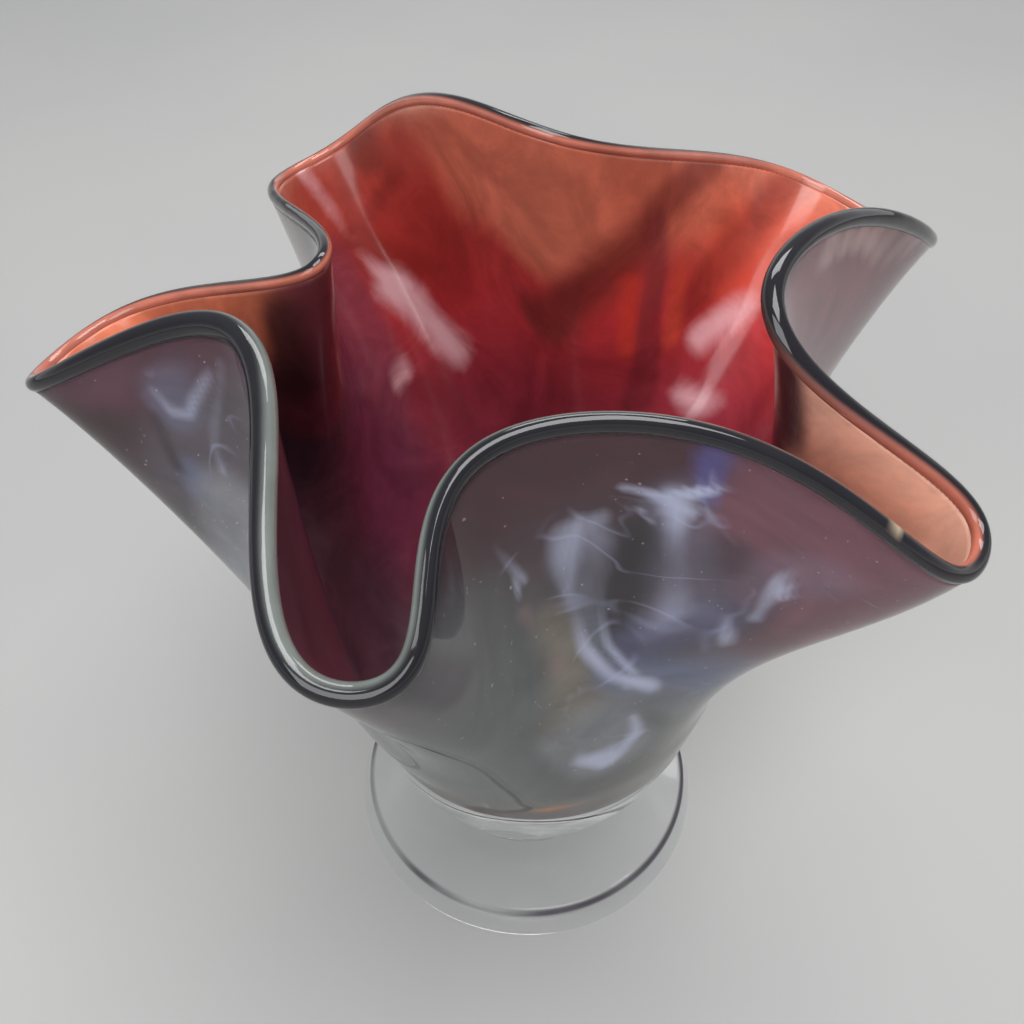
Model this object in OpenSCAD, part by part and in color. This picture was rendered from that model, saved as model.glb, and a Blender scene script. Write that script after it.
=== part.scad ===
// Hand blown fluted vase: a cased glass bowl with five pulled-out flutes, on a thick clear foot.
// Three fused layers of glass make the wall, from the inside out: a coloured lining, a smoky
// overlay and a clear casing. A rolled lip closes the wall at the rim, and a short neck joins
// the casing to the foot. The origin is the centre of the foot's underside, with +Z up.

/* [Foot] */
// Diameter of the foot where it stands
foot_d = 100; // [90:1:110]
// Thickness of the foot at its edge
foot_edge_h = 10; // [8:0.5:12]
// Thickness of the foot where the neck joins it
foot_mid_h = 12.5; // [12:0.5:14]
// Height of the top of the neck above the table
neck_h = 20; // [19:0.5:22]
// Radius of the neck at its narrowest
neck_waist_r = 24; // [20:0.5:26]

/* [Bowl] */
// Radius of the bowl at its widest, to the middle of the wall
bowl_r = 48.3; // [44:0.1:52]
// Height of the widest part of the bowl
bowl_z = 78; // [74:1:84]
// Depth of the coloured bowl below its widest part
bowl_depth = 34; // [30:1:38]
// Depth of the clear casing below the widest part, before the neck cuts it
casing_depth = 70; // [66:1:74]

/* [Wall] */
// Thickness of the coloured lining
lining_t = 0.7; // [0.6:0.1:0.8]
// Thickness of the smoky overlay
overlay_t = 0.6; // [0.5:0.1:0.7]
// Thickness of the clear casing on the wall
casing_t = 1.1; // [0.9:0.1:1.2]
// Scale of the rolled lip's thickness
lip_scale = 1; // [1:0.05:1.2]
// Length of wall over which the bowl turns into the flutes
shoulder = 34; // [25:1:40]
// Scale of how far the flutes reach out and in
reach_scale = 1; // [0.95:0.01:1.05]

/* [Mesh] */
// Stations in each half flute
half_flute_steps = 12; // [8:1:14]
// Rows up the bowl
bowl_rows = 4; // [3:1:6]
// Rows up the fluted wall
wall_rows = 8; // [6:1:9]

/* [Hidden] */

// The rim's turning points, clockwise from above: lobe, fold, lobe, fold and so on.
// Each is [azimuth, reach, height, roundness, lean, arch, hug, lip radius]. Roundness is the length
// of the rim's tangent there, and lean turns it away from square to the radius. Arch lifts the wall
// above a straight line to the rim. Hug is how far up the bowl the wall follows it, in degrees.
TURNS = [
    [174, 100, 156, 112, -14, 8, 74, 1.4],
    [173, 40, 182, 53, 1, -12, 65, 1.4],
    [124, 107, 158, 80, 12, 0, 65, 1.4],
    [97, 49, 189, 126, -56, 9, 55, 1.5],
    [43, 117, 151, 162, -14, 5, 69, 1.5],
    [341, 44, 196, 133, -17, 18, 66, 1.9],
    [327, 90, 158, 77, 4, -14, 87, 1.6],
    [279, 47, 186, 126, -5, -3, 85, 1.7],
    [251, 86, 162, 72, 19, -3, 78, 2.0],
    [196, 55, 180, 66, 28, 0, 72, 2.5]
];
// Azimuth at which the first turning point's wall leaves the bowl; the rest follow evenly.
first_azimuth = 185;
// Fraction of the wall's length that the rim's own direction governs.
rim_pull = 0.35;
// Times the rim is smoothed, so that its curvature has no steps at the turning points.
smoothings = 2;
lip_steps = 6;
$fn = 96;

turns = len(TURNS);
stations = turns * half_flute_steps;
// Offsets of the four glass surfaces from the middle of the wall, outward positive.
wall_t = lining_t + overlay_t + casing_t;
inside = -wall_t / 2;
lining_face = inside + lining_t;
overlay_face = lining_face + overlay_t;
outside = wall_t / 2;

function wrap(i, n) = (i % n + n) % n;
function ease(u) = u * u * (3 - 2 * u);
function unit(v) = v / norm(v);
function around(a) = [cos(a), sin(a), 0];
function turn_point(t) = [t[1] * reach_scale * cos(t[0]), t[1] * reach_scale * sin(t[0]), t[2]];
function turn_tangent(t) = [sin(t[0] + t[4]) * t[3], -cos(t[0] + t[4]) * t[3], 0];

// Cubic Hermite curve from one turning point to the next.
function between(a, b, u) =
    (2 * pow(u, 3) - 3 * u * u + 1) * turn_point(a)
    + (pow(u, 3) - 2 * u * u + u) * turn_tangent(a)
    + ease(u) * turn_point(b)
    + (pow(u, 3) - u * u) * turn_tangent(b);
function smoothed(p, times) =
    times == 0
    ? p
    : smoothed([for (i = [0 : len(p) - 1])
        (p[wrap(i - 1, len(p))] + 2 * p[i] + p[wrap(i + 1, len(p))]) / 4], times - 1);
rim = smoothed([for (i = [0 : turns - 1], s = [0 : half_flute_steps - 1])
    between(TURNS[i], TURNS[wrap(i + 1, turns)], s / half_flute_steps)], smoothings);

// A column of TURNS, eased from each turning point to the next.
function eased(column, i) =
    let (k = floor(i / half_flute_steps), u = ease(i / half_flute_steps - k))
    TURNS[k][column] * (1 - u) + TURNS[wrap(k + 1, turns)][column] * u;
function station_azimuth(i) = first_azimuth - 360 * i / stations;

// The lip is a round bead centred on the rim. The wall stops short of the rim, at the lip's base.
function lip_r(i) = lip_scale * eased(7, i);
function lip_rise(i) = sqrt(pow(lip_r(i), 2) - pow(wall_t / 2, 2));

// A point on the bowl's middle surface, b degrees up from its lowest point.
function bowl_point(a, b) =
    bowl_r * sin(b) * around(a) + [0, 0, bowl_z - bowl_depth * cos(b)];
function bowl_tangent(a, b) =
    unit(bowl_r * cos(b) * around(a) + [0, 0, bowl_depth * sin(b)]);
function wall_point(i, v) =
    let (
        a = station_azimuth(i),
        hug = eased(6, i),
        p0 = bowl_point(a, hug),
        p1 = p0 + shoulder * bowl_tangent(a, hug),
        lead = rim_pull * (p1 - rim[i]) + [0, 0, eased(5, i)],
        p2 = rim[i] + lead,
        p3 = rim[i] + lip_rise(i) * unit(lead)
    )
    pow(1 - v, 3) * p0 + 3 * pow(1 - v, 2) * v * p1 + 3 * (1 - v) * v * v * p2 + pow(v, 3) * p3;

// The middle surface, one ring of stations for each row from just above the bowl's lowest point.
rows = bowl_rows + wall_rows;
middle = [for (j = [1 : rows]) [for (i = [0 : stations - 1])
    j <= bowl_rows
    ? bowl_point(station_azimuth(i), eased(6, i) * j / bowl_rows)
    : wall_point(i, (j - bowl_rows) / wall_rows)]];
// Direction up the wall and outward normal at each point.
up = [for (j = [0 : rows - 1]) [for (i = [0 : stations - 1])
    unit(middle[min(j + 1, rows - 1)][i] - (j == 0 ? middle[0][i] : middle[j - 1][i]))]];
normal = [for (j = [0 : rows - 1]) [for (i = [0 : stations - 1])
    unit(cross(up[j][i], middle[j][wrap(i + 1, stations)] - middle[j][wrap(i - 1, stations)]))]];

// A surface is its lowest point followed by its rings.
function offset_surface(d) = concat(
    [[0, 0, bowl_z - bowl_depth - d]],
    [for (j = [0 : rows - 1], i = [0 : stations - 1]) middle[j][i] + d * normal[j][i]]);

// The casing's outside leaves the coloured bowl and runs down to the top of the neck.
neck_top_angle = acos((bowl_z - neck_h) / casing_depth);
neck_top_r = (bowl_r + outside) * sin(neck_top_angle);
function casing_point(i, j) =
    let (
        b = neck_top_angle + (eased(6, i) - neck_top_angle) * j / (bowl_rows - 1),
        share = j / (bowl_rows - 1),
        depth = casing_depth + (bowl_depth + outside - casing_depth) * pow(share, 3)
    )
    (bowl_r + outside) * sin(b) * around(station_azimuth(i)) + [0, 0, bowl_z - depth * cos(b)];
casing_outside = concat(
    [[0, 0, neck_h]],
    [for (j = [0 : rows - 1], i = [0 : stations - 1])
        j < bowl_rows - 1 ? casing_point(i, j) : middle[j][i] + outside * normal[j][i]]);

// Triangles of one surface, seen from outside it when flip is false.
function turned(f, flip) = flip ? [f[0], f[2], f[1]] : f;
function at(base, j, i) = base + 1 + j * stations + wrap(i, stations);
function surface_faces(base, flip) = concat(
    [for (i = [0 : stations - 1]) turned([base, at(base, 0, i + 1), at(base, 0, i)], flip)],
    [for (j = [0 : rows - 2], i = [0 : stations - 1], half = [0, 1])
        turned(
            half == 0
            ? [at(base, j, i), at(base, j, i + 1), at(base, j + 1, i)]
            : [at(base, j, i + 1), at(base, j + 1, i + 1), at(base, j + 1, i)],
            flip)]);
// One layer of glass between an inner and an outer surface, closed along the rim.
module layer(inner, outer) {
    second = len(inner);
    edge = [for (i = [0 : stations - 1], half = [0, 1])
        half == 0
        ? [at(0, rows - 1, i), at(second, rows - 1, i), at(0, rows - 1, i + 1)]
        : [at(0, rows - 1, i + 1), at(second, rows - 1, i), at(second, rows - 1, i + 1)]];
    polyhedron(concat(inner, outer),
        concat(surface_faces(0, true), surface_faces(second, false), edge));
}

module inner_lining() {
    color([0.62, 0.2, 0.13]) layer(offset_surface(inside), offset_surface(lining_face));
}

module colour_overlay() {
    color([0.33, 0.27, 0.33]) layer(offset_surface(lining_face), offset_surface(overlay_face));
}

module clear_casing() {
    color([0.8, 0.83, 0.85, 0.4]) layer(offset_surface(overlay_face), casing_outside);
}

// Outline of the lip across the wall. Its flat base matches the wall's edge.
lip_base = [inside, lining_face, overlay_face];
function lip_arc(i, k) =
    let (open = asin(wall_t / 2 / lip_r(i)), a = 180 - open - (360 - 2 * open) * k / lip_steps)
    [lip_r(i) * sin(a), lip_rise(i) + lip_r(i) * cos(a)];
function lip_section(i) = concat(
    [for (d = lip_base) [d, 0]], [for (k = [0 : lip_steps - 1]) lip_arc(i, k)]);

module lip_wrap() {
    sides = len(lip_base) + lip_steps;
    points = [for (i = [0 : stations - 1], q = lip_section(i))
        middle[rows - 1][i] + q[0] * normal[rows - 1][i] + q[1] * up[rows - 1][i]];
    faces = [for (i = [0 : stations - 1], k = [0 : sides - 1], half = [0, 1])
        let (
            here = i * sides,
            next = wrap(i + 1, stations) * sides,
            k2 = wrap(k + 1, sides)
        )
        half == 0
        ? [here + k, next + k, here + k2]
        : [next + k, next + k2, here + k2]];
    color([0.16, 0.18, 0.21]) polyhedron(points, faces);
}

// A quarter of a circle that eases one straight run of a turned outline into the next.
function quarter(cx, cy, rx, ry, from, to) =
    [for (k = [0 : 8]) let (a = from + (to - from) * k / 8) [cx + rx * cos(a), cy + ry * sin(a)]];

module foot_neck() {
    flare = neck_top_r - neck_waist_r;
    half_h = (neck_h - foot_mid_h) / 2;
    color([0.8, 0.83, 0.85, 0.4]) rotate_extrude()
        polygon(concat(
            [[0, foot_mid_h]],
            quarter(neck_top_r, foot_mid_h + half_h, flare, half_h, 270, 90),
            [[0, neck_h]]));
}

module foot_disc() {
    edge_round = 2.5;
    foot_r = foot_d / 2;
    top_r = foot_r - 2;
    color([0.8, 0.83, 0.85, 0.4]) rotate_extrude()
        polygon(concat(
            [[0, 0]],
            quarter(foot_r - edge_round, edge_round, edge_round, edge_round, -90, 0),
            quarter(top_r - edge_round, foot_edge_h - edge_round, edge_round, edge_round, 0, 90),
            [[neck_top_r, foot_mid_h], [0, foot_mid_h]]));
}

inner_lining();
colour_overlay();
clear_casing();
lip_wrap();
foot_neck();
foot_disc();
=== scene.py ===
"""Hand blown fluted glass vase: visual model, materials, light and camera, in the CAD frame."""
import math

import bmesh
import bpy
import numpy as np
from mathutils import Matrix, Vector


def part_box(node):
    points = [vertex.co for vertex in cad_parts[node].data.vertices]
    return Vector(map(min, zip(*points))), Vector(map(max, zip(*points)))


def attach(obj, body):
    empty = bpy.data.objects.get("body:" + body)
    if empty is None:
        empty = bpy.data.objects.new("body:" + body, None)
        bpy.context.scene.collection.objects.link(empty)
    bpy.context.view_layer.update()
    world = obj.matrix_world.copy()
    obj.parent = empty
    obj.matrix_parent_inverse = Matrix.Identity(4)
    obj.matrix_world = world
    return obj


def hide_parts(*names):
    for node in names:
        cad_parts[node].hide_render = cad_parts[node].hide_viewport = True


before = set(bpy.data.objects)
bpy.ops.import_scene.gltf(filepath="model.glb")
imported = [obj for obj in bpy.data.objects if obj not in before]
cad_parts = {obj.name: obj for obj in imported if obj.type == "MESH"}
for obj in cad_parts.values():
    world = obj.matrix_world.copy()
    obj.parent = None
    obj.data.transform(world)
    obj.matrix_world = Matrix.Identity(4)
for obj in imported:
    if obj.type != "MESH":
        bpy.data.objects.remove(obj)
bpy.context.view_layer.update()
MM = 0.001


def top_of(node):
    """Highest corner of a CAD node's box, in mm to two places."""
    return [round(c / MM, 2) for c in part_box(node)[1]]


# ---------------------------------------------------------------- shape of the glass, in mm
# The rim's turning points, as in the CAD source. The columns are azimuth, reach, height,
# roundness, lean, arch, hug and lip radius.
TURNS = np.array([
    [174, 100, 156, 112, -14, 8, 74, 1.4],
    [173, 40, 182, 53, 1, -12, 65, 1.4],
    [124, 107, 158, 80, 12, 0, 65, 1.4],
    [97, 49, 189, 126, -56, 9, 55, 1.5],
    [43, 117, 151, 162, -14, 5, 69, 1.5],
    [341, 44, 196, 133, -17, 18, 66, 1.9],
    [327, 90, 158, 77, 4, -14, 87, 1.6],
    [279, 47, 186, 126, -5, -3, 85, 1.7],
    [251, 86, 162, 72, 19, -3, 78, 2.0],
    [196, 55, 180, 66, 28, 0, 72, 2.5]], float)
FIRST_AZIMUTH, RIM_PULL = 185, 0.35
BOWL_R, BOWL_Z, BOWL_DEPTH, CASING_DEPTH = 48.3, 78, 34, 70
SHOULDER = 34
FOOT_R, _, FOOT_MID_H = top_of("foot_disc")
NECK_H = top_of("foot_neck")[2]
FOOT_TOP_R = FOOT_R - 2
FOOT_EDGE_H, FOOT_ROUND, NECK_WAIST_R = 10, 2.5, 24
# Distances of the four glass surfaces from the middle of the wall, outward positive.
LINING_T, OVERLAY_T, CASING_T = 0.7, 0.6, 1.1
WALL_T = LINING_T + OVERLAY_T + CASING_T
INSIDE, OUTSIDE = -WALL_T / 2, WALL_T / 2
LINING_FACE = INSIDE + LINING_T
OVERLAY_FACE = LINING_FACE + OVERLAY_T
GAP = 0.03  # air left between layers, so that no two faces coincide

STEPS = 60  # stations in each half flute
N = len(TURNS) * STEPS
CAD_STATIONS, CAD_SMOOTHINGS = 120, 2


def unit(v):
    return v / np.maximum(np.linalg.norm(v, axis=-1, keepdims=True), 1e-12)


def eased(column):
    """A column of TURNS at every station, eased from each turning point to the next."""
    u = np.arange(STEPS) / STEPS
    e = u * u * (3 - 2 * u)
    here, after = TURNS[:, column], np.roll(TURNS[:, column], -1)
    return (here[:, None] * (1 - e) + after[:, None] * e).ravel()


def rim_curve():
    """The rim at every station: Hermite curves between the turning points, then smoothed as
    much as the coarser rim of the CAD model is."""
    az, lean = np.radians(TURNS[:, 0]), np.radians(TURNS[:, 0] + TURNS[:, 4])
    p = np.c_[TURNS[:, 1] * np.cos(az), TURNS[:, 1] * np.sin(az), TURNS[:, 2]]
    t = np.c_[np.sin(lean) * TURNS[:, 3], -np.cos(lean) * TURNS[:, 3], 0 * az]
    q, w = np.roll(p, -1, 0), np.roll(t, -1, 0)
    u = (np.arange(STEPS) / STEPS)[None, :, None]
    r = ((2 * u**3 - 3 * u**2 + 1) * p[:, None] + (u**3 - 2 * u**2 + u) * t[:, None]
         + (3 * u**2 - 2 * u**3) * q[:, None] + (u**3 - u**2) * w[:, None]).reshape(-1, 3)
    for _ in range(int(CAD_SMOOTHINGS * (N / CAD_STATIONS) ** 2)):
        r = (np.roll(r, 1, 0) + 2 * r + np.roll(r, -1, 0)) / 4
    return r


RIM = rim_curve()
HUG = np.radians(eased(6))
ARCH = eased(5)
LIP_R = eased(7)
LIP_RISE = np.sqrt(LIP_R**2 - OUTSIDE**2)
PHI = np.radians(FIRST_AZIMUTH - 360 * np.arange(N) / N)
AROUND = np.c_[np.cos(PHI), np.sin(PHI), 0 * PHI]
UP = np.array([0.0, 0.0, 1.0])


def bowl(b):
    """Points on the bowl's middle surface, b radians up from its lowest point."""
    b = np.broadcast_to(np.asarray(b, float).reshape(-1, 1), (N, 1))
    return BOWL_R * np.sin(b) * AROUND + UP * (BOWL_Z - BOWL_DEPTH * np.cos(b))


def middle(heights):
    """Rows of the wall's middle surface: a height below 1 is that share of the bowl's hug angle,
    and above 1 it is 1 plus the share of the wall up to the rim."""
    p0 = bowl(HUG)
    h = HUG[:, None]
    p1 = p0 + SHOULDER * unit(BOWL_R * np.cos(h) * AROUND + UP * BOWL_DEPTH * np.sin(h))
    lead = RIM_PULL * (p1 - RIM) + UP * ARCH[:, None]
    p2, p3 = RIM + lead, RIM + LIP_RISE[:, None] * unit(lead)
    rows = []
    for k in heights:
        v = k - 1
        rows.append(bowl(HUG * k) if k <= 1 else (1 - v) ** 3 * p0 + 3 * (1 - v) ** 2 * v * p1
                    + 3 * (1 - v) * v * v * p2 + v**3 * p3)
    return np.array(rows)


def normals(rows, heights):
    """Outward normals and upward directions, from finely spaced neighbours of each row."""
    e = 0.004
    hi = middle([min(k + e, 2) for k in heights])
    lo = middle([max(k - e, e) for k in heights])
    up = unit(hi - lo)
    return unit(np.cross(up, np.roll(rows, -1, 1) - np.roll(rows, 1, 1))), up


def spaced(bowl_rows, wall_rows):
    """Heights of evenly spaced rows up the bowl and then up the wall."""
    return ([(j + 1) / bowl_rows for j in range(bowl_rows)]
            + [1 + (j + 1) / wall_rows for j in range(wall_rows)])


FINE_ROWS, COARSE_ROWS = spaced(24, 84), spaced(6, 14)


def surface(d, heights):
    """Apex and rings of the surface at distance d from the middle one."""
    rows = middle(heights)
    n, _ = normals(rows, heights)
    return np.array([0, 0, BOWL_Z - BOWL_DEPTH - d]), rows + d * n


def flat(layer_face):
    """An apex and its rings as one list of points."""
    apex, rings = layer_face
    return np.concatenate([[apex], rings.reshape(-1, 3)])


def casing_surface(heights):
    """The clear casing's outside: below the shoulder it leaves the colour and thickens."""
    top_angle = math.acos((BOWL_Z - NECK_H) / CASING_DEPTH)
    apex, rings = surface(OUTSIDE, heights)
    first = heights[0]
    for j, k in enumerate(heights):
        if k < 1:
            share = (k - first) / (1 - first)
            b = (top_angle + (HUG - top_angle) * share)[:, None]
            depth = CASING_DEPTH + (BOWL_DEPTH + OUTSIDE - CASING_DEPTH) * share**3
            thick = (BOWL_R + OUTSIDE) * np.sin(b) * AROUND + UP * (BOWL_Z - depth * np.cos(b))
            rings[j] += (thick - rings[j]) * (1 - share**6)
    return np.array([0, 0, NECK_H]), rings


# ---------------------------------------------------------------- meshes
EDGE_SHADE_REACH = 2.2  # how far the painted dark line of shade along the foot's top edge fades out, in mm


def make_mesh(name, points, faces, kinds, materials, attributes=()):
    """A smooth closed mesh, which rides on the root body. kinds are its faces' material slots,
    and attributes are (name, one number or colour for each point) pairs."""
    me = bpy.data.meshes.new(name)
    me.from_pydata((np.asarray(points) * MM).tolist(), [], faces)
    for m in materials:
        me.materials.append(m)
    me.polygons.foreach_set("material_index", np.asarray(kinds, np.int32))
    me.polygons.foreach_set("use_smooth", np.ones(len(faces), bool))
    for label, values in attributes:
        values = np.asarray(values, np.float32)
        if values.ndim == 2:
            a = me.attributes.new(label, "FLOAT_COLOR", "POINT")
            a.data.foreach_set("color", np.c_[values, np.ones(len(values))].ravel())
        else:
            a = me.attributes.new(label, "FLOAT", "POINT")
            a.data.foreach_set("value", values)
    solid = bmesh.new()
    solid.from_mesh(me)
    if solid.calc_volume(signed=True) < 0:
        bmesh.ops.reverse_faces(solid, faces=solid.faces)
        solid.to_mesh(me)
    solid.free()
    me.update()
    ob = bpy.data.objects.new(name, me)
    bpy.context.scene.collection.objects.link(ob)
    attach(ob, "root")
    return ob


def skin(base, rings, flip):
    """Faces of an apex and its rings. The apex is vertex base and the rings follow it."""
    r = len(rings)
    i = np.arange(N)
    nxt = (i + 1) % N
    fan = np.c_[np.full(N, base), base + 1 + nxt, base + 1 + i]
    quads = np.concatenate([
        np.c_[base + 1 + j * N + i, base + 1 + j * N + nxt,
              base + 1 + (j + 1) * N + nxt, base + 1 + (j + 1) * N + i] for j in range(r - 1)])
    if flip:
        fan, quads = fan[:, ::-1], quads[:, ::-1]
    return fan.tolist() + quads.tolist()


def shell(name, inner, outer, kinds, materials, attributes=()):
    """A closed layer of glass. kinds are the material slots of its inner face, outer face, edge."""
    points = np.concatenate([flat(inner), flat(outer)])
    second = len(flat(inner))
    in_faces, out_faces = skin(0, inner[1], True), skin(second, outer[1], False)
    i = np.arange(N)
    nxt = (i + 1) % N
    top_in, top_out = second - N, len(points) - N
    edge = np.c_[top_in + i, top_out + i, top_out + nxt, top_in + nxt].tolist()
    slots = ([kinds[0]] * len(in_faces) + [kinds[1]] * len(out_faces)
             + [kinds[2]] * len(edge))
    return make_mesh(name, points, in_faces + out_faces + edge, slots, materials, attributes)


def turned(name, outline, slots, materials, edge_shade=None):
    """A closed solid of revolution. The outline runs from the axis round to the axis, with one
    material slot for each stretch. A painted dark line of shade may circle it at (radius, height)."""
    sides = 256
    ring = np.radians(np.arange(sides) * 360 / sides)
    points = [[0, 0, outline[0][1]]]
    for r, z in outline[1:-1]:
        points += np.c_[r * np.cos(ring), r * np.sin(ring), np.full(sides, z)].tolist()
    points.append([0, 0, outline[-1][1]])
    last = len(points) - 1
    top = last - sides
    faces, kinds = [], []
    for s in range(sides):
        t = (s + 1) % sides
        faces.append([0, 1 + t, 1 + s])
        for a in range(1, top, sides):
            b = a + sides
            faces.append([a + s, a + t, b + t, b + s])
        faces.append([top + s, top + t, last])
        kinds += slots
    marks = []
    if edge_shade:
        r, z = edge_shade
        p = np.array(points)
        away = np.hypot(np.hypot(p[:, 0], p[:, 1]) - r, p[:, 2] - z)
        # the painted dark line of shade along the edge
        marks = [("ring", np.clip(1 - away / EDGE_SHADE_REACH, 0, 1))]
    return make_mesh(name, points, faces, kinds, materials, marks)


def quarter(cx, cy, rx, ry, start, end, steps=14):
    """A quarter of an ellipse, which eases one straight run of an outline into the next."""
    a = np.radians(np.linspace(start, end, steps + 1))
    return [(cx + rx * math.cos(x), cy + ry * math.sin(x)) for x in a]


# ---------------------------------------------------------------- material helpers
class Nodes:
    """A material's node tree, with short calls for the nodes used here."""

    # The Mix node has one set of sockets for each kind of value. These are its colour ones.
    MIX_INPUTS = 0, 6, 7
    MIX_RESULT = 2

    def __init__(self, name):
        self.mat = bpy.data.materials.new(name)
        self.mat.use_nodes = True
        self.nt = self.mat.node_tree
        self.nt.nodes.clear()

    def put(self, socket, value):
        """Link a socket to another one, or set it to a number or colour."""
        if isinstance(value, bpy.types.NodeSocket):
            self.nt.links.new(value, socket)
        elif value is not None:
            socket.default_value = value

    def node(self, kind, **values):
        """A new node. An underscore in a value's name stands for a space in its input's."""
        n = self.nt.nodes.new(kind)
        for key, value in values.items():
            self.put(n.inputs[key.replace("_", " ")], value)
        return n

    def attr(self, name, which="Fac"):
        n = self.nt.nodes.new("ShaderNodeAttribute")
        n.attribute_name = name
        return n.outputs[which]

    def gain(self, colour, factor):
        """A colour times a number."""
        n = self.nt.nodes.new("ShaderNodeVectorMath")
        n.operation = "SCALE"
        self.nt.links.new(colour, n.inputs[0])
        n.inputs["Scale"].default_value = factor
        return n.outputs[0]

    def here(self, scale=(1, 1, 1)):
        """Place on the object, in metres."""
        c = self.nt.nodes.new("ShaderNodeTexCoord")
        m = self.nt.nodes.new("ShaderNodeMapping")
        m.inputs["Scale"].default_value = scale
        self.nt.links.new(c.outputs["Object"], m.inputs["Vector"])
        return m.outputs[0]

    def noise(self, scale, detail=3, rough=0.5, bend=0.0, vector=None):
        n = self.nt.nodes.new("ShaderNodeTexNoise")
        self.put(n.inputs["Vector"], vector or self.here())
        n.inputs["Scale"].default_value = scale
        n.inputs["Detail"].default_value = detail
        n.inputs["Roughness"].default_value = rough
        n.inputs["Distortion"].default_value = bend
        return n.outputs["Fac"]

    def ramp(self, value, low, high, to_low=0.0, to_high=1.0):
        """A value between low and high, smoothly mapped to between to_low and to_high."""
        n = self.nt.nodes.new("ShaderNodeMapRange")
        n.interpolation_type = "SMOOTHSTEP"
        for key, v in (("Value", value), ("From Min", low), ("From Max", high),
                       ("To Min", to_low), ("To Max", to_high)):
            self.put(n.inputs[key], v)
        return n.outputs["Result"]

    def math(self, how, a, b=None):
        n = self.nt.nodes.new("ShaderNodeMath")
        n.operation = how
        self.put(n.inputs[0], a)
        self.put(n.inputs[1], b)
        return n.outputs[0]

    def mix(self, share, a, b):
        """Colour b over colour a."""
        n = self.nt.nodes.new("ShaderNodeMix")
        n.data_type = "RGBA"
        n.clamp_factor = True
        share_in, a_in, b_in = (n.inputs[i] for i in self.MIX_INPUTS)
        self.put(share_in, share)
        self.put(a_in, a if isinstance(a, bpy.types.NodeSocket) else (*a, 1))
        self.put(b_in, b if isinstance(b, bpy.types.NodeSocket) else (*b, 1))
        return n.outputs[self.MIX_RESULT]

    def blend(self, share, a, b):
        """Shader b over shader a."""
        n = self.nt.nodes.new("ShaderNodeMixShader")
        self.put(n.inputs[0], share)
        self.nt.links.new(a, n.inputs[1])
        self.nt.links.new(b, n.inputs[2])
        return n.outputs[0]

    def bump(self, height, depth):
        n = self.nt.nodes.new("ShaderNodeBump")
        n.inputs["Strength"].default_value = 1.0
        n.inputs["Distance"].default_value = depth
        self.nt.links.new(height, n.inputs["Height"])
        return n.outputs[0]

    def ray(self, which):
        """1 for one kind of light path and 0 for the others."""
        return self.nt.nodes.new("ShaderNodeLightPath").outputs[which]

    def clear(self, colour=(1, 1, 1)):
        return self.node("ShaderNodeBsdfTransparent", Color=(*colour, 1)).outputs[0]

    def out(self, shader):
        o = self.nt.nodes.new("ShaderNodeOutputMaterial")
        self.nt.links.new(shader, o.inputs["Surface"])
        return self.mat


def srgb(r, g, b):
    """Linear colour of an 8-bit one."""
    return tuple(c / 12.92 if c <= 0.04045 else ((c + 0.055) / 1.055) ** 2.4
                 for c in (r / 255, g / 255, b / 255))


def joint_face():
    """Faces inside fused glass, which nothing shows at."""
    n = Nodes("fused_face")
    return n.out(n.clear())


def clear_glass(name, tint, ground=False, dark_edge_line=False):
    """Clear glass, fire-polished or ground. On the foot's disc it has a slight haze and a painted
    dark line in smoke colour, which stands in for the shade that total internal reflection gives
    along the top edge. Lamps and diffuse light pass straight through it."""
    n = Nodes(name)
    tone = n.mix(n.ramp(n.noise(60, 2), 0.3, 0.7), tint, tuple(c * 0.985 for c in tint))
    if dark_edge_line:
        # painted shade: a dark line along the foot's top edge, where total internal reflection
        # darkens the glass
        edge_shade = n.ramp(n.attr("ring"), 0.35, 0.8, 0, 0.9)
        edge_shade = n.math("MULTIPLY", edge_shade, n.ramp(n.noise(24, 2), 0.35, 0.6, 0.35, 1.0))
        tone = n.mix(edge_shade, tone, srgb(92, 84, 98))
    if ground:
        rough = n.ramp(n.noise(900, 3), 0.45, 0.65, 0.03, 0.16)
        uneven = n.bump(n.noise(420, 1, 0.3), 0.00002)
    else:
        rough = n.ramp(n.noise(160, 3), 0.5, 0.8, 0.0, 0.02)
        uneven = n.bump(n.noise(26, 0, 0.4), 0.0004)
    glass = n.node("ShaderNodeBsdfGlass", Color=tone, IOR=1.5, Roughness=rough,
                   Normal=uneven).outputs[0]
    if dark_edge_line:
        haze = n.node("ShaderNodeBsdfTranslucent", Color=tone)
        glass = n.blend(0.4, glass, haze.outputs[0])
    through = tuple(0.5 + c / 2 for c in tint)
    lit = n.blend(n.ray("Is Diffuse Ray"), glass, n.clear(through))
    return n.out(n.blend(n.ray("Is Shadow Ray"), lit, n.clear(through)))


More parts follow.
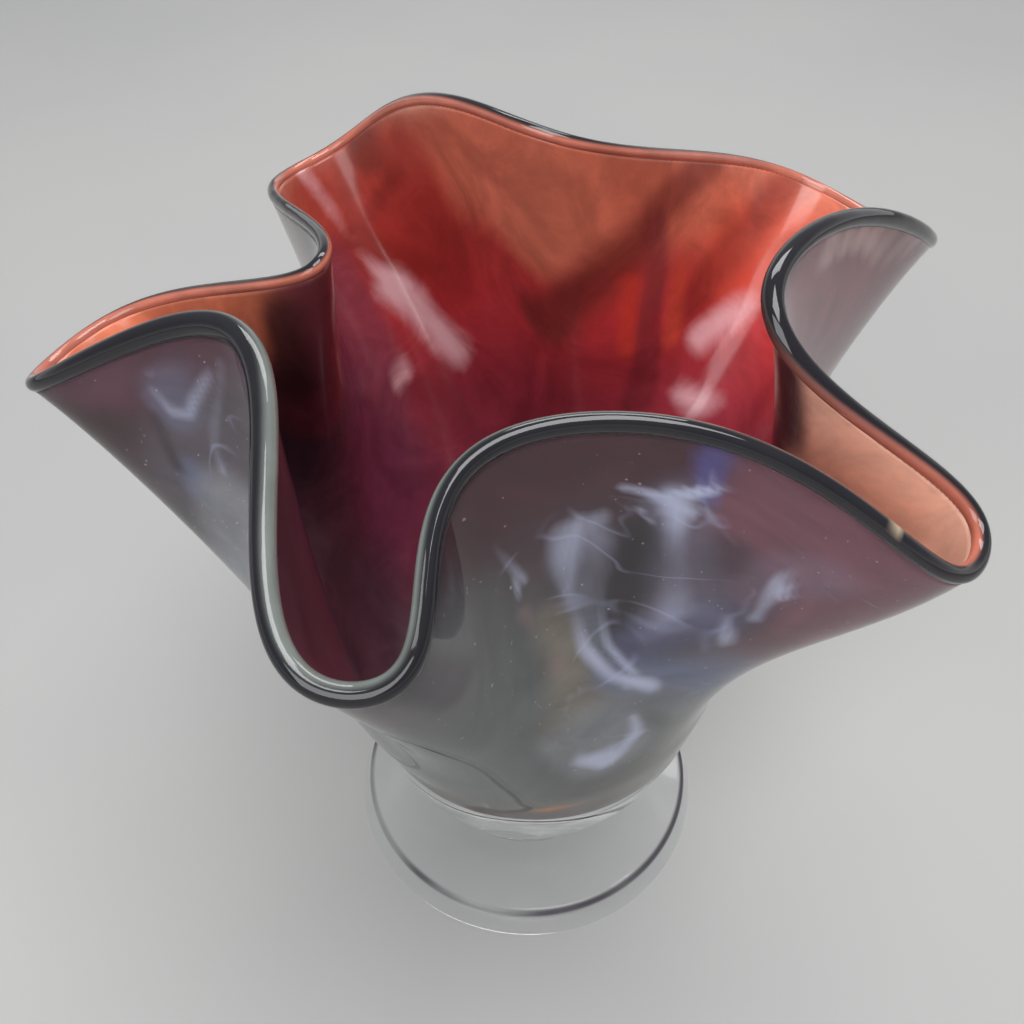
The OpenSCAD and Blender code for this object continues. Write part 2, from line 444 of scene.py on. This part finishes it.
def lining_glass():
    """Painted orange and ruby glass with clouds, grain and pale streaks of painted highlight,
    glossy and a little translucent."""
    n = Nodes("ruby_lining_glass")
    cloud = n.noise(45, 5, 0.6, 1.2)
    grain = n.noise(260, 3, 0.6)
    paint = n.attr("paint", "Color")
    lively = n.mix(n.ramp(cloud, 0.3, 0.7), n.gain(paint, 0.8), n.gain(paint, 1.2))
    colour = n.mix(n.ramp(grain, 0.35, 0.7), lively, n.gain(lively, 1.07))
    # painted highlight: pale pink streaks that stand in for soft reflections of the lights along
    # the inner creases
    edge = n.math("ADD", n.attr("wisp_and_highlight"), n.ramp(cloud, 0.2, 0.8, -0.3, 0.3))
    colour = n.mix(n.ramp(edge, -0.2, 1.1, 0, 0.9), colour, srgb(240, 188, 194))
    p = n.node("ShaderNodeBsdfPrincipled", Base_Color=colour)
    n.put(p.inputs["Roughness"], n.ramp(n.noise(70, 3), 0.3, 0.7, 0.14, 0.22))
    n.put(p.inputs["Normal"], n.bump(n.noise(34, 2, 0.4), 0.0006))
    t = n.node("ShaderNodeBsdfTranslucent", Color=colour)
    return n.out(n.blend(0.2, p.outputs[0], t.outputs[0]))


def overlay_glass():
    """Painted smoky glass with clouds, crisp wisps, thin veins near them and specks of dust. Its
    shine is low, because the clear casing over it has the gloss."""
    n = Nodes("smoky_overlay_glass")
    cloud = n.noise(30, 5, 0.6, 1.5)
    hair = n.noise(48, 3, 0.5, 0.9, n.here((1, 1, 0.5)))
    paint = n.attr("paint", "Color")
    colour = n.mix(n.ramp(cloud, 0.3, 0.7), n.gain(paint, 0.56), n.gain(paint, 0.86))
    wisp_and_highlight = n.attr("wisp_and_highlight")
    edge = n.math("ADD", wisp_and_highlight, n.ramp(hair, 0.3, 0.7, -0.28, 0.2))
    colour = n.mix(n.ramp(edge, -0.1, 1.2, 0, 0.8), colour, srgb(170, 174, 198))
    vein = n.math("ABSOLUTE", n.math("SUBTRACT", n.noise(24, 2, 0.5, 1.6), 0.5))
    vein = n.math("MULTIPLY", n.ramp(vein, 0.02, 0.0, 0, 0.2), n.ramp(wisp_and_highlight, -0.9, 0.6))
    colour = n.mix(vein, colour, srgb(168, 172, 206))
    dust = n.ramp(n.noise(1100, 1, 0.3), 0.76, 0.8, 0, 0.3)
    colour = n.mix(dust, colour, srgb(190, 186, 190))
    p = n.node("ShaderNodeBsdfPrincipled", Base_Color=colour)
    n.put(p.inputs["Roughness"], n.ramp(cloud, 0.3, 0.7, 0.45, 0.6))
    p.inputs["Specular IOR Level"].default_value = 0.15
    return n.out(p.outputs[0])


def lip_glass():
    """Fire-polished bead: painted smoke, darkened on its outer side as painted shade, and coral,
    with clear depth and a hard shine.
    """
    n = Nodes("smoked_lip_glass")
    paint = n.attr("paint", "Color")
    tone = n.mix(n.ramp(n.noise(90, 3), 0.3, 0.7), n.gain(paint, 0.85), n.gain(paint, 1.15))
    p = n.node("ShaderNodeBsdfPrincipled", Base_Color=tone)
    n.put(p.inputs["Roughness"], n.ramp(n.noise(200, 2), 0.4, 0.7, 0.03, 0.07))
    n.put(p.inputs["Normal"], n.bump(n.noise(60, 2), 0.0003))
    p.inputs["IOR"].default_value = 1.55
    p.inputs["Transmission Weight"].default_value = 0.3
    return n.out(n.blend(n.ray("Is Shadow Ray"), p.outputs[0], n.clear(srgb(150, 154, 158))))


def floor_paper():
    """Matt pale paper."""
    n = Nodes("pale_floor")
    tone = n.mix(n.ramp(n.noise(4, 3), 0.3, 0.7), srgb(165, 165, 163), srgb(161, 161, 160))
    p = n.node("ShaderNodeBsdfPrincipled", Base_Color=tone)
    p.inputs["Roughness"].default_value = 0.6
    p.inputs["Specular IOR Level"].default_value = 0.2
    return n.out(p.outputs[0])


# ---------------------------------------------------------------- painted-in colour
# A place on the wall is (t, k): t counts turning points round the rim, and its whole numbers are
# the rows of TURNS, and k is the height that middle() takes. A stroke is (path of places, width,
# softness, colour, strength), and a wisp is the same without a colour. On the inside the wisps
# are painted highlights. Widths and softness are in mm, and colours are 8-bit.
def at_station(t, k):
    """Point on the middle surface at the place (t, k)."""
    i = (t % len(TURNS)) * STEPS
    lo = int(math.floor(i))
    row = middle([k])[0]
    return row[lo % N] + (i - lo) * (row[(lo + 1) % N] - row[lo % N])


SPOTS_A_LEG = 16  # a stroke is drawn as this many dabs between two places on its path


def away_from(points, path, width):
    """Distance in mm from the edge of a stroke along a path. Its width is one number, or two for
    its start and its end."""
    start, end = width if isinstance(width, tuple) else (width, width)
    spots = []
    for (t0, k0), (t1, k1) in zip(path, path[1:]):
        for s in np.linspace(0, 1, SPOTS_A_LEG):
            spots.append(at_station(t0 + (t1 - t0) * s, k0 + (k1 - k0) * s))
    away = np.full(len(points), 1e9)
    for spot, w in zip(spots, np.linspace(start, end, len(spots))):
        away = np.minimum(away, np.linalg.norm(points - spot, axis=1) - w / 2)
    return away


def streak(points, path, width, soft):
    """Share from 1 on a stroke to 0 at soft mm from its edge."""
    x = np.clip(away_from(points, path, width) / soft, 0, 1)
    return 1 - x * x * (3 - 2 * x)


def wisps(points, strokes):
    """Field that is about 1 on the strokes and falls below 0 away from them, at a pace that the
    material can cut into crisp and ragged edges."""
    lowest, highest = -3.0, 1.2
    field = np.full(len(points), lowest)
    for path, width, soft, strength in strokes:
        here = np.clip(1 - away_from(points, path, width) / soft, lowest, highest)
        field = np.maximum(field, here - (1 - strength))
    return field


def ripple(points, scale, seed):
    """Smooth wandering vectors, which bend straight strokes as drawn glass does."""
    rng = np.random.default_rng(seed)
    bent = np.zeros_like(points)
    waves, strength, whole_turn = 6, 0.4, 6.28
    for _ in range(waves):
        wave = rng.normal(0, 1 / scale, 3)
        phase = rng.uniform(0, whole_turn)
        bent += np.sin(points @ wave + phase)[:, None] * rng.normal(0, strength, 3)
    return bent


def lay(points, base, strokes):
    """Colours with soft brush strokes of glass colour laid over them in turn."""
    colour = base.copy()
    for path, width, soft, tone, strength in strokes:
        share = (strength * streak(points, path, width, soft))[:, None]
        colour += (np.array(srgb(*tone)) - colour) * share
    return colour


def banded(k, bands):
    """Colour at each height, eased between (height, colour) bands."""
    at = [b[0] for b in bands]
    tones = np.array([srgb(*b[1]) for b in bands])
    return np.stack([np.interp(k, at, tones[:, c]) for c in range(3)], axis=1)


# ---------------------------------------------------------------- the coloured layers
fused = joint_face()

# Colour bands, each a height and the colour there.
INSIDE_BANDS = [(0.6, (124, 50, 70)), (1.2, (134, 52, 70)), (1.42, (152, 50, 62)),
                (1.6, (190, 56, 60)), (1.78, (184, 70, 60)), (1.95, (190, 100, 80)),
                (2.0, (204, 136, 114))]
OUTSIDE_BANDS = [(0.5, (122, 104, 102)), (0.95, (108, 106, 102)), (1.2, (98, 99, 98)),
                 (1.5, (78, 78, 82)), (1.75, (68, 50, 56)), (2.0, (62, 34, 40))]
INSIDE_STROKES = [
    # the left wall and the front lobe, which run to plum
    ([(0.3, 1.1), (1.0, 1.4)], 44, 26, (104, 66, 80), 0.95),
    ([(1.3, 1.2), (1.4, 1.6)], 16, 22, (120, 50, 78), 0.8),
    ([(8.0, 1.7), (8.5, 1.8), (9.2, 1.6)], 70, 20, (72, 48, 58), 0.97),
    ([(9.9, 1.0), (9.6, 1.5)], 40, 24, (78, 52, 62), 0.9),
    ([(0.9, 1.7), (1.0, 1.95)], 10, 12, (120, 52, 62), 0.8),
    # a mauve streak, a painted sheen on the dark plum of the left wall
    ([(1.55, 1.97), (1.8, 1.75), (1.75, 1.5)], 14, 10, (138, 68, 84), 0.75),
    # dark red at the left of the back
    ([(2.2, 1.97), (2.5, 1.75)], 22, 18, (148, 42, 38), 0.7),
    # orange in the lobes and along the back
    ([(0.0, 1.95), (0.6, 1.97)], 12, 12, (214, 118, 88), 0.9),
    # the orange of the right lobe, lightened into a painted glow of light shining through its thin
    # wall
    ([(5.35, 1.8), (5.6, 1.95), (6.4, 1.9)], 26, 12, (242, 190, 166), 0.97),
    ([(2.9, 1.86), (3.2, 1.92), (4.2, 1.97)], 22, 16, (206, 112, 88), 0.9),
    ([(2.95, 1.88), (3.1, 1.8)], 20, 12, (212, 116, 92), 0.9),
    ([(3.75, 1.72), (3.95, 1.8)], 12, 12, (196, 76, 58), 0.7),
    # black wedges beside the folds
    ([(0.74, 1.78), (0.8, 1.9)], 5, 6, (84, 44, 46), 0.9),
    ([(5.3, 1.5), (5.3, 1.9)], (10, 5), 5, (52, 28, 32), 0.95),
    # smoke at the back
    ([(2.37, 2.0), (2.36, 1.94)], 5, 6, (96, 46, 40), 0.7),
    ([(2.45, 1.86), (2.2, 1.8)], 2, 4, (110, 36, 36), 0.6),
    ([(3.55, 1.98), (3.36, 1.83), (3.24, 1.7), (3.02, 1.6)], (3, 9), 6, (116, 48, 44), 0.75),
    ([(3.85, 1.95), (3.75, 1.76), (3.6, 1.62)], (3, 6), 7, (124, 44, 40), 0.6),
    ([(3.36, 1.8), (3.38, 1.6), (3.45, 1.42)], (3, 8), 5, (108, 40, 46), 0.65),
    ([(3.24, 1.66), (3.28, 1.52)], 2, 4, (206, 66, 50), 0.7),
    ([(3.5, 1.68), (3.55, 1.54)], 3, 5, (208, 80, 58), 0.7),
]
# Pale streaks inside: painted highlights, which stand in for soft reflections of the lights along
# the inner creases.
INSIDE_PAINTED_HIGHLIGHTS = [
    ([(2.0, 1.99), (2.03, 1.8), (2.11, 1.7), (2.22, 1.62)], (1.5, 5), 3, 0.9),
    ([(2.16, 1.64), (2.28, 1.55), (2.42, 1.5)], (8, 3), 6, 0.7),
    ([(1.9, 1.46), (2.0, 1.47)], 2, 5, 0.6),
    ([(3.97, 1.69), (3.85, 1.62), (3.7, 1.54)], (2, 5), 5, 0.65),
    ([(3.72, 1.43), (3.9, 1.45)], 3, 5, 0.55),
]
OUTSIDE_STROKES = [
    # mauve toward the right lobe, and on the back ones
    ([(6.0, 1.75), (6.35, 1.85), (6.5, 2.0)], 30, 24, (124, 74, 88), 0.9),
    ([(5.4, 1.6), (5.8, 1.9)], 30, 24, (116, 76, 88), 0.8),
    ([(4.0, 1.8), (4.9, 1.8)], 40, 20, (146, 84, 96), 0.9),
    # pale pink along the thin rim of the back lobes, a painted glow of light shining through the
    # wall
    ([(4.0, 1.97), (4.9, 1.97)], 4, 4, (206, 168, 162), 0.7),
    ([(1.6, 1.85), (2.4, 1.85)], 34, 20, (146, 124, 128), 0.6),
    # pewter and olive on the front of the body
    ([(7.5, 1.2), (7.6, 1.6), (7.6, 1.85)], (30, 12), 16, (88, 90, 90), 0.75),
    ([(8.4, 1.3), (8.8, 1.5)], 24, 18, (96, 98, 98), 0.7),
    ([(7.25, 1.35), (7.2, 1.6)], 6, 7, (134, 122, 106), 0.6),
    # dark aubergine
    ([(7.75, 1.98), (7.7, 1.8)], 5, 5, (54, 42, 52), 0.85),
    ([(6.9, 1.97), (7.3, 1.95)], 10, 12, (70, 34, 44), 0.9),
    ([(6.96, 1.74), (6.94, 1.5)], 5, 4, (40, 32, 38), 0.95),
    ([(6.72, 1.75), (6.65, 1.6)], 8, 7, (58, 48, 60), 0.7),
    # blue and violet
    ([(6.8, 1.99), (6.8, 1.9)], (4, 2), 3.5, (88, 80, 142), 0.85),
    ([(7.0, 1.42), (6.7, 1.4), (6.4, 1.38)], 7, 8, (104, 110, 140), 0.75),
    ([(6.75, 1.55), (6.9, 1.5)], 6, 8, (92, 90, 124), 0.6),
    # the left lobe: smoke with mauve along the top and grey below
    ([(9.0, 1.95), (9.6, 1.98)], 7, 7, (88, 50, 64), 0.8),
    ([(9.1, 1.8), (9.4, 1.7)], 12, 12, (86, 80, 88), 0.7),
    ([(9.3, 1.9), (9.28, 1.86)], 5, 5, (98, 98, 120), 0.6),
    ([(9.36, 1.7), (9.4, 1.66)], 4, 5, (92, 98, 124), 0.7),
    ([(9.2, 1.6), (9.3, 1.5)], 14, 12, (146, 146, 152), 0.8),
    ([(9.38, 1.85), (9.44, 1.72)], 1, 3, (52, 40, 50), 0.7),
    # milky veils under the wisps
    ([(7.07, 1.72), (7.07, 1.5), (6.92, 1.38)], (3, 7), 5, (112, 114, 130), 0.55),
    ([(6.86, 1.84), (6.83, 1.7), (6.76, 1.6)], (8, 4), 7, (108, 106, 126), 0.5),
    ([(6.5, 1.82), (6.62, 1.68)], (9, 5), 6, (128, 108, 126), 0.45),
    ([(7.25, 1.3), (7.1, 1.16)], 8, 7, (136, 138, 144), 0.6),
    ([(6.95, 1.33), (6.6, 1.28)], 7, 8, (126, 128, 138), 0.5),
    # pink and orange touches
    ([(7.36, 1.62), (7.3, 1.56)], 1.2, 2, (206, 132, 158), 0.9),
    ([(7.3, 1.68), (7.32, 1.5)], 1, 3, (142, 108, 112), 0.6),
    ([(7.3, 0.86), (7.7, 0.84)], 1, 2.5, (196, 120, 56), 0.9),
]
OUTSIDE_WISPS = [
    # a leaf with a clear heart
    ([(7.06, 1.77), (7.1, 1.67), (7.12, 1.52), (7.04, 1.42), (6.86, 1.37)], (0.5, 3), 3.5, 0.95),
    ([(7.06, 1.77), (7.01, 1.66), (7.0, 1.52), (6.92, 1.42)], (0.5, 2), 3, 0.8),
    # a star with a long arm along the violet
    ([(7.0, 1.85), (6.93, 1.845), (6.84, 1.83)], (0.3, 3), 2, 0.75),
    ([(6.9, 1.85), (6.83, 1.89), (6.76, 1.94), (6.66, 1.97)], (2, 0.2), 1.4, 0.9),
    ([(6.8, 1.97), (6.78, 1.92)], 0.8, 2, 0.65),
    ([(6.88, 1.84), (6.87, 1.74), (6.8, 1.58)], (4, 1), 5, 0.8),
    ([(6.98, 1.8), (6.92, 1.75)], 0.4, 1.5, 0.65),
    ([(6.9, 1.84), (6.8, 1.85), (6.7, 1.8)], (2, 0.5), 3, 0.45),
    # feathers
    ([(6.52, 1.88), (6.56, 1.76), (6.6, 1.6)], (0.3, 2), 2.5, 0.8),
    ([(6.42, 1.87), (6.52, 1.76), (6.6, 1.64)], (0.3, 1.5), 2, 0.8),
    ([(6.32, 1.84), (6.44, 1.78), (6.56, 1.68)], (1, 0.5), 2, 0.7),
    ([(6.74, 1.78), (6.7, 1.62), (6.64, 1.5)], 0.8, 2.5, 0.7),
    # the tail, which curls round on the body
    ([(7.28, 1.4), (7.3, 1.3), (7.22, 1.2), (7.07, 1.14)], (1, 3), 2.5, 0.7),
    ([(7.07, 1.14), (7.0, 1.18), (7.02, 1.25)], (3, 0.5), 3, 0.5),
    ([(6.98, 1.38), (6.75, 1.37), (6.5, 1.34)], (3, 1), 4, 0.5),
    ([(7.25, 1.84), (7.22, 1.74)], 1, 3, 0.35),
    ([(7.18, 1.85), (7.28, 1.72)], 0.5, 2, 0.4),
    # the left lobe
    ([(9.33, 1.92), (9.3, 1.86), (9.24, 1.85), (9.2, 1.9)], (0.5, 2), 3, 0.6),
    ([(9.15, 1.92), (9.18, 1.72)], 2, 4, 0.35),
    ([(9.42, 1.68), (9.38, 1.64), (9.33, 1.69)], 0.6, 1.5, 0.6),
]


def painted(shown, hidden, bands, strokes, wisps_and_highlights, drift):
    """Paint and wisps for the points of a layer's shown face, and blanks for its hidden face. On
    the lining the wisps are painted highlights. The strokes are bent by a drift, which is its
    reach, its scale and its seed."""
    points = flat(shown)
    reach, scale, seed = drift
    bent = points + reach * ripple(points, scale, seed)
    heights = np.r_[0, np.repeat(FINE_ROWS, N)]
    paint = lay(bent, banded(heights, bands), strokes)
    blank = len(flat(hidden))
    return (paint, np.zeros((blank, 3))), (wisps(bent, wisps_and_highlights), np.zeros(blank))


def build_lining():
    shown, hidden = surface(INSIDE, FINE_ROWS), surface(LINING_FACE - GAP, COARSE_ROWS)
    # The lining's wisps are painted highlights.
    paint, wisp_and_highlight = painted(shown, hidden, INSIDE_BANDS, INSIDE_STROKES, INSIDE_PAINTED_HIGHLIGHTS, (3, 14, 3))
    return shell("inner_lining_glass", shown, hidden, (0, 1, 1), [lining_glass(), fused],
                 [("paint", np.concatenate(paint)), ("wisp_and_highlight", np.concatenate(wisp_and_highlight))])


def build_overlay():
    shown, hidden = surface(OVERLAY_FACE, FINE_ROWS), surface(LINING_FACE, COARSE_ROWS)
    paint, wisp_and_highlight = painted(shown, hidden, OUTSIDE_BANDS, OUTSIDE_STROKES, OUTSIDE_WISPS,
                          (2.5, 12, 8))
    # Its hidden face is the inner one, so that face's points come first.
    return shell("smoky_overlay_glass", hidden, shown, (1, 0, 1), [overlay_glass(), fused],
                 [("paint", np.concatenate(paint[::-1])), ("wisp_and_highlight", np.concatenate(wisp_and_highlight[::-1]))])


# ---------------------------------------------------------------- the clear glass and the lip
def build_casing():
    inner = surface(OVERLAY_FACE + GAP, COARSE_ROWS)
    casing = shell("clear_casing_glass", inner, casing_surface(FINE_ROWS), (1, 0, 1),
                   [clear_glass("clear_casing_glass", (0.985, 0.99, 0.99)), fused])
    # Its flat bottom, round the apex of the outer face, is fused to the neck.
    apex = len(flat(inner))
    for poly in casing.data.polygons:
        if apex in poly.vertices:
            poly.material_index = 1
    return casing


LIP_ARC = np.linspace(-1, 1, 29)  # places round the bead, from its outer side to its inner
LIP_SINK = 0.15  # how far the bead's flat base goes into the wall's edge, in mm
FLAKE_PLACE = 6.45, 2.0
FLAKE_LIFT, FLAKE_REACH = 2, 1.3
# The bead's outer half is smoke glass, darkened further as painted shade for the dark edge that
# grazing refraction gives.
SMOKE_AND_EDGE_SHADE, PALE_SMOKE, DARK_SMOKE = srgb(22, 22, 29), srgb(122, 128, 124), srgb(56, 56, 60)
CORAL, BEIGE = srgb(204, 118, 98), srgb(206, 190, 160)


def lip_points():
    """Sections of the lip at every station: a flat base on the wall's edge, then a round bead."""
    edge = middle([2.0])
    (out,), (up,) = normals(edge, [2.0])
    base = [edge[0] + d * out - LIP_SINK * up
            for d in (INSIDE, LINING_FACE, OVERLAY_FACE, OUTSIDE)]
    r, rise = LIP_R[:, None], LIP_RISE[:, None]
    widest = np.pi - np.arcsin(OUTSIDE / r)
    bead = [edge[0] + r * np.sin(-a * widest) * out + (rise + r * np.cos(-a * widest)) * up
            for a in LIP_ARC]
    return np.array(base + bead).transpose(1, 0, 2), len(base)


def lip_paint(points, base_sides):
    """Smoke on the outer half, darkened as painted shade of the bead's outer edge. The inner half
    is coral at the back, pale smoke in front and dark smoke at the right fold. One small beige
    flake is fused into the top."""
    t = (np.arange(N) / STEPS)[:, None]
    front = np.clip((t - 6.2) / 0.8, 0, 1) * np.clip((9.9 - t) / 0.3, 0, 1)
    fold = np.clip(1 - abs(t - 5.1) / 0.7, 0, 1)
    inner_tone = (np.array(CORAL) * (1 - front - fold) + np.array(PALE_SMOKE) * front
                  + np.array(DARK_SMOKE) * fold)
    across = np.r_[np.full(base_sides, -1), LIP_ARC]
    share = np.clip((across - 0.14 + 0.2 * front) / 0.3, 0, 1)
    share = (share * share * (3 - 2 * share))[:, :, None]
    # the outer side: smoke colour with painted shade
    paint = np.array(SMOKE_AND_EDGE_SHADE) * (1 - share) + inner_tone[:, None] * share
    flake = at_station(*FLAKE_PLACE) + FLAKE_LIFT * UP
    away = np.linalg.norm(points - flake, axis=-1, keepdims=True)
    return paint + (np.array(BEIGE) - paint) * np.clip(1.4 - away / FLAKE_REACH, 0, 1)


def build_lip():
    points, base_sides = lip_points()
    sides = points.shape[1]
    here = np.arange(N) * sides
    nxt = (np.arange(N) + 1) % N * sides
    faces, kinds = [], []
    for k in range(sides):
        k2 = (k + 1) % sides
        faces += np.c_[here + k, nxt + k, nxt + k2, here + k2].tolist()
        kinds += [int(k < base_sides - 1)] * N
    paint = lip_paint(points, base_sides).reshape(-1, 3)
    return make_mesh("lip_bead", points.reshape(-1, 3), faces, kinds, [lip_glass(), fused],
                     [("paint", paint)])


NECK_TOP_R = (BOWL_R + OUTSIDE) * math.sin(math.acos((BOWL_Z - NECK_H) / CASING_DEPTH))
CLEAR_TINT, GROUND_TINT = (0.98, 0.985, 0.985), (0.97, 0.975, 0.975)


def build_neck():
    half_h = (NECK_H - FOOT_MID_H) / 2
    cove = quarter(NECK_TOP_R, FOOT_MID_H + half_h, NECK_TOP_R - NECK_WAIST_R, half_h,
                   270, 90, 24)
    return turned("clear_neck", [(0, FOOT_MID_H), *cove, (0, NECK_H)],
                  [1] + [0] * (len(cove) - 1) + [1],
                  [clear_glass("clear_foot_glass", CLEAR_TINT), fused])


def build_foot():
    r = FOOT_ROUND
    profile = (quarter(FOOT_R - r, r, r, r, -90, 0)
               + quarter(FOOT_TOP_R - r, FOOT_EDGE_H - r, r, r, 0, 90)
               + [(NECK_TOP_R, FOOT_MID_H)])
    # Its top edge carries a painted dark line of shade.
    return turned("clear_foot", [(0, 0), *profile, (0, FOOT_MID_H)],
                  [2] + [0] * (len(profile) - 1) + [1],
                  [clear_glass("clear_disc_glass", CLEAR_TINT, dark_edge_line=True), fused,
                   clear_glass("ground_foot_glass", GROUND_TINT, ground=True)],
                  edge_shade=(FOOT_TOP_R - 1, FOOT_EDGE_H - 1))


# ---------------------------------------------------------------- stage, light and camera
def build_floor():
    half, drop = 3.0, 0.0003  # the floor lies just under the foot, so that no faces coincide
    mesh = bpy.data.meshes.new("floor")
    mesh.from_pydata([(-half, -half, 0), (half, -half, 0), (half, half, 0), (-half, half, 0)],
                     [], [(0, 1, 2, 3)])
    mesh.materials.append(floor_paper())
    ob = bpy.data.objects.new("floor", mesh)
    ob.location.z = -drop
    bpy.context.scene.collection.objects.link(ob)
    return ob


def area_light(name, place, aim, size, watts):
    light = bpy.data.lights.new(name, "AREA")
    light.shape = "RECTANGLE"
    light.size, light.size_y = size
    light.energy = watts
    ob = bpy.data.objects.new(name, light)
    ob.location = place
    ob.rotation_euler = (Vector(aim) - Vector(place)).to_track_quat("-Z", "Y").to_euler()
    bpy.context.scene.collection.objects.link(ob)


def studio_world():
    """Soft surroundings: bright at the horizon, dimmer above it and mid grey overhead."""
    world = bpy.data.worlds.new("studio")
    world.use_nodes = True
    nodes, links = world.node_tree.nodes, world.node_tree.links
    where = nodes.new("ShaderNodeTexCoord")
    split = nodes.new("ShaderNodeSeparateXYZ")
    level = nodes.new("ShaderNodeValToRGB")
    level.color_ramp.elements[0].color = (1, 1, 1, 1)
    level.color_ramp.elements[1].color = (0.62, 0.64, 0.66, 1)
    dim = level.color_ramp.elements.new(0.35)
    dim.color = (0.4, 0.4, 0.42, 1)
    sky = nodes["Background"]
    links.new(where.outputs["Generated"], split.inputs[0])
    links.new(split.outputs["Z"], level.inputs[0])
    links.new(level.outputs[0], sky.inputs["Color"])
    sky.inputs["Strength"].default_value = 0.8
    return world


def build_camera():
    camera = bpy.data.cameras.new("camera")
    camera.sensor_width = 36
    camera.lens = 36
    camera.clip_start = 0.01
    ob = bpy.data.objects.new("camera", camera)
    ob.location = (-0.0045, -0.1655, 0.28665)
    ob.rotation_euler = (math.radians(44.51), 0, 0)
    bpy.context.scene.collection.objects.link(ob)
    return ob


# ---------------------------------------------------------------- the scene
lining = build_lining()
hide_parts("inner_lining")

overlay = build_overlay()
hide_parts("colour_overlay")

casing = build_casing()
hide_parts("clear_casing")

lip = build_lip()
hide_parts("lip_wrap")

neck = build_neck()
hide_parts("foot_neck")

foot = build_foot()
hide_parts("foot_disc")

floor_ob = build_floor()

area_light("key", (0.15, -0.15, 1.3), (0, 0, 0.1), (0.9, 0.7), 12.5)
area_light("back", (0.1, 0.9, 1.1), (0, 0, 0.1), (0.9, 0.4), 6)
area_light("front", (-0.5, -1.1, 1.0), (-0.1, -0.2, 0), (1.3, 1.0), 15)
scene = bpy.context.scene
scene.world = studio_world()
scene.camera = build_camera()
scene.view_settings.view_transform = "Standard"
scene.cycles.transparent_max_bounces = 32  # rays cross many clear faces in the wall and the foot
